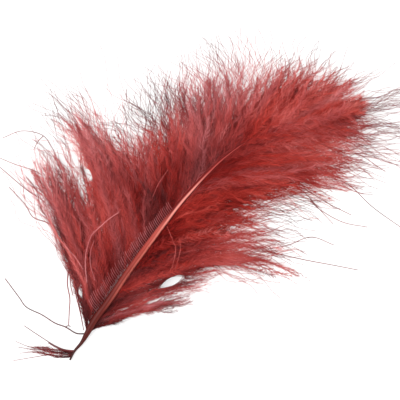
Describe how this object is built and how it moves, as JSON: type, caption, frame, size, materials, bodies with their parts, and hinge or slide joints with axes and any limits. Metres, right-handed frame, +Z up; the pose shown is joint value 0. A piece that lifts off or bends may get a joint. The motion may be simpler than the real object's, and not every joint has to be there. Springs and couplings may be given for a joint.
{
  "type": "marabou feather",
  "caption": "Soft dyed marabou feather lying flat, an arched quill with loose locks of down spreading to both sides and a folded tuft at its tip.",
  "frame": {"origin": "on the surface the feather lies on, under the quill's tip where the folded brush of down leaves it", "axes": "+X along the plume towards its far tips, +Y towards the fuller vane, +Z up from the surface"},
  "size_m": [0.153, 0.1096, 0.0097],
  "materials": {
    "down": "soft matt dyed down, brick red"
  },
  "bodies": {
    "root": {"feather": "down"}
  },
  "joints": []
}
